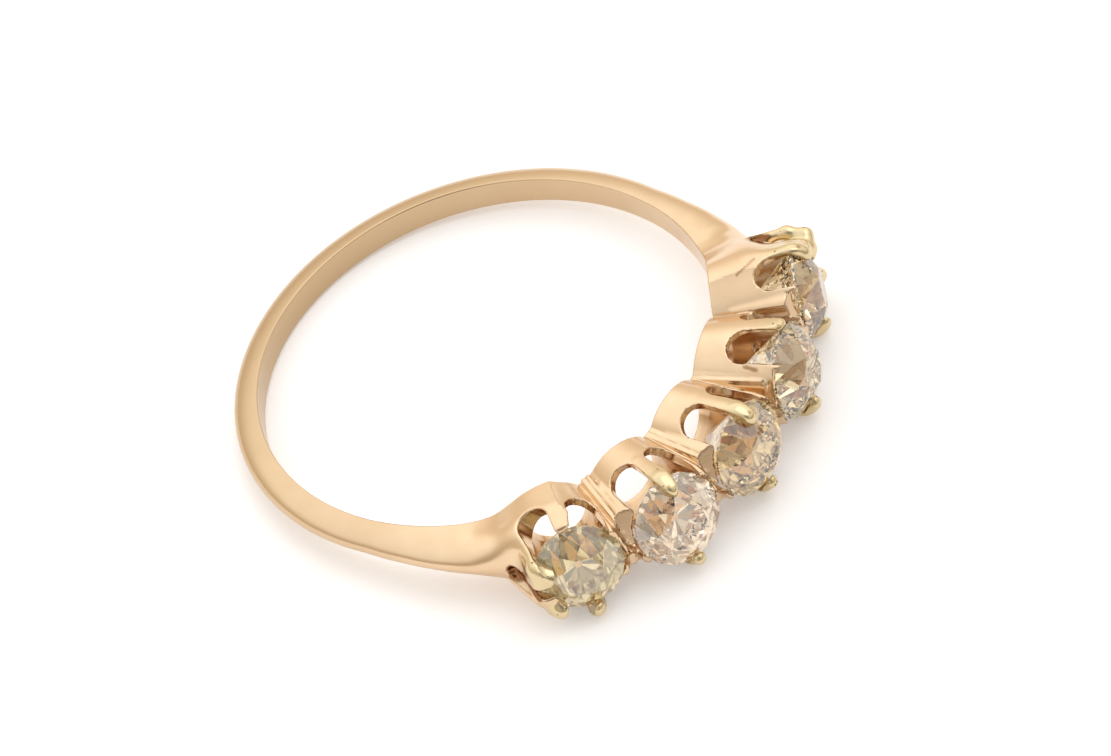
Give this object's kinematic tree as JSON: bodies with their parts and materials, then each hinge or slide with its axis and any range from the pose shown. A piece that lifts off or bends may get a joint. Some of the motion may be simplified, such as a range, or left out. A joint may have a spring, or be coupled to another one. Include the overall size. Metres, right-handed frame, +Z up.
{
  "type": "diamond band",
  "caption": "Slim gold ring lying on its side. Its shoulders widen into a curved row of open round cups, and hand-cut claws on each cup hold an old-cut diamond.",
  "frame": {"origin": "middle of the finger hole, on its axis and halfway through the width of the shank", "axes": "+X towards the middle stone, +Y along the row of stones, +Z up, away from the surface that the band lies on. The finger axis leans from +Z towards -X by the angle at which the band lies."},
  "size_m": [0.022, 0.019, 0.0041],
  "materials": {
    "gold": "polished and worn",
    "diamond": "faceted, faint champagne tint"
  },
  "bodies": {
    "root": {"band": "gold", "stone_1": "diamond", "stone_2": "diamond", "stone_3": "diamond", "stone_4": "diamond", "stone_5": "diamond"}
  },
  "joints": []
}
